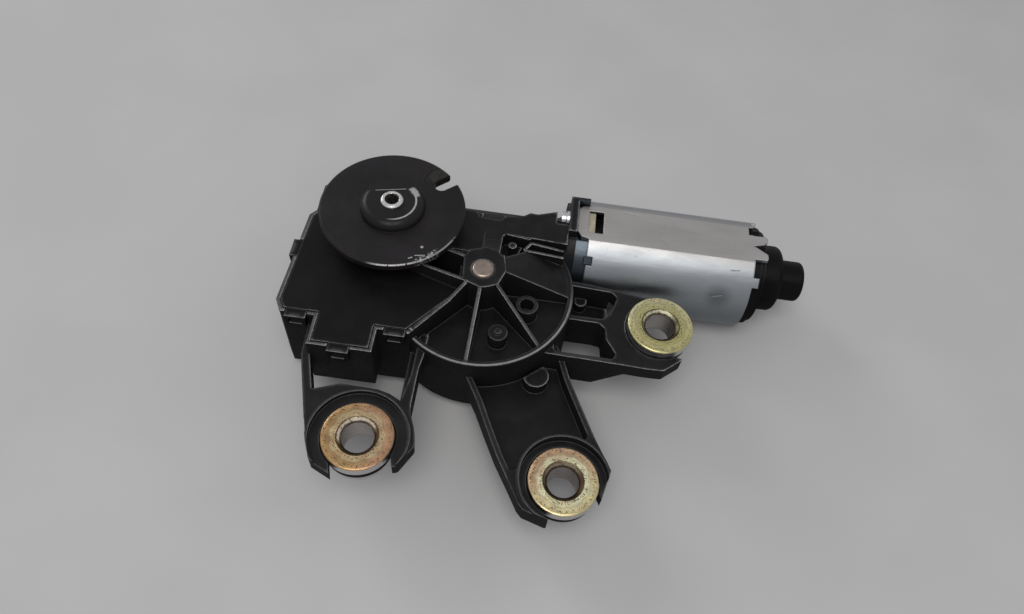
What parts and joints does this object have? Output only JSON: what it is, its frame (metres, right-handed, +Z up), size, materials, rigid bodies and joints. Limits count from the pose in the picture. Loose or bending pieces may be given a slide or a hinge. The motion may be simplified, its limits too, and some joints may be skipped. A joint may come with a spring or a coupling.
{
  "type": "wiper motor",
  "caption": "Rear window wiper motor: worm gear motor in a ribbed moulded housing on rubber-mounted arms, with a swinging hollow shaft and slotted coupling disc.",
  "frame": {"origin": "on the output shaft's axis, level with the top faces of the left and right mounting sleeves", "axes": "+Z up along the output shaft through the coupling disc, +X along the motor from gearbox to end cap"},
  "size_m": [0.1632, 0.1134, 0.0445],
  "materials": {
    "housing_plastic": "black glass-filled moulding, fine grained",
    "lid_plastic": "dark grey moulding, satin",
    "disc_coat": "dark satin coating, worn bright at the rim and hub",
    "zinc_steel": "bright zinc plated",
    "can_steel": "zinc plated deep-drawn sheet, light scratches",
    "pin_steel": "ground steel, slightly tarnished",
    "chromate_steel": "yellow chromate over zinc, bright bevelled lip",
    "black_rubber": "smooth black rubber",
    "sintered_bronze": "porous, oiled",
    "terminal_brass": "clean strip",
    "winding_copper": "enamelled wire",
    "core_steel": "stacked sheet",
    "ferrite": "sintered, matt",
    "carbon": "pressed carbon",
    "board_resin": "green solder mask",
    "wheel_plastic": "natural acetal"
  },
  "bodies": {
    "housing": {"gear_housing": "housing_plastic", "top_lid": "lid_plastic", "bottom_cover": "housing_plastic", "cover_screws": "zinc_steel", "flange_screws": "zinc_steel", "motor_can": "can_steel", "motor_end_cap": "housing_plastic", "field_magnets": "ferrite", "brush_holder": "housing_plastic", "carbon_brushes": "carbon", "brush_springs": "zinc_steel", "brush_terminal": "terminal_brass", "flange_bearing": "sintered_bronze", "worm_end_bush": "sintered_bronze", "rear_bearing": "sintered_bronze", "thrust_button": "wheel_plastic", "circuit_board": "board_resin", "connector_shell": "housing_plastic", "connector_terminals": "terminal_brass", "gear_axle": "pin_steel", "axle_clip": "zinc_steel", "upper_bush": "sintered_bronze", "lower_bush": "sintered_bronze", "shaft_seal": "black_rubber", "mount_sleeve_left": "chromate_steel", "mount_sleeve_middle": "chromate_steel", "mount_sleeve_right": "chromate_steel", "grommet_left": "black_rubber", "grommet_middle": "black_rubber", "grommet_right": "black_rubber"},
    "armature": {"armature_shaft": "pin_steel", "worm": "pin_steel", "lamination_stack": "core_steel", "windings": "winding_copper", "commutator": "winding_copper"},
    "wheel": {"worm_wheel": "wheel_plastic", "crank_pin": "pin_steel", "park_magnet": "ferrite"},
    "rod": {"connecting_rod": "zinc_steel"},
    "output": {"output_shaft": "pin_steel", "rocker_lever": "zinc_steel", "rocker_pin": "pin_steel", "coupling_disc": "disc_coat"}
  },
  "joints": [
    {"name": "armature_spin", "type": "hinge", "parent": "housing", "child": "armature", "pos_m": [0.06, 0.0118, -0.011], "axis": [1, 0, 0], "continuous": true},
    {"name": "wheel_spin", "type": "hinge", "parent": "housing", "child": "wheel", "pos_m": [0.03, -0.0155, -0.011], "axis": [0, 0, 1], "continuous": true},
    {"name": "rod_turn", "type": "hinge", "parent": "wheel", "child": "rod", "pos_m": [0.0214, -0.01285, -0.0195], "axis": [0, 0, 1], "continuous": true},
    {"name": "output_swing", "type": "hinge", "parent": "housing", "child": "output", "pos_m": [0, 0, 0], "axis": [0, 0, 1], "range_deg": [0, 100]}
  ],
  "couplings": [
    {"joint": "wheel_spin", "follows": "armature_spin", "ratio": 0.02},
    {"joint": "rod_turn", "follows": "armature_spin", "ratio": -0.02}
  ]
}
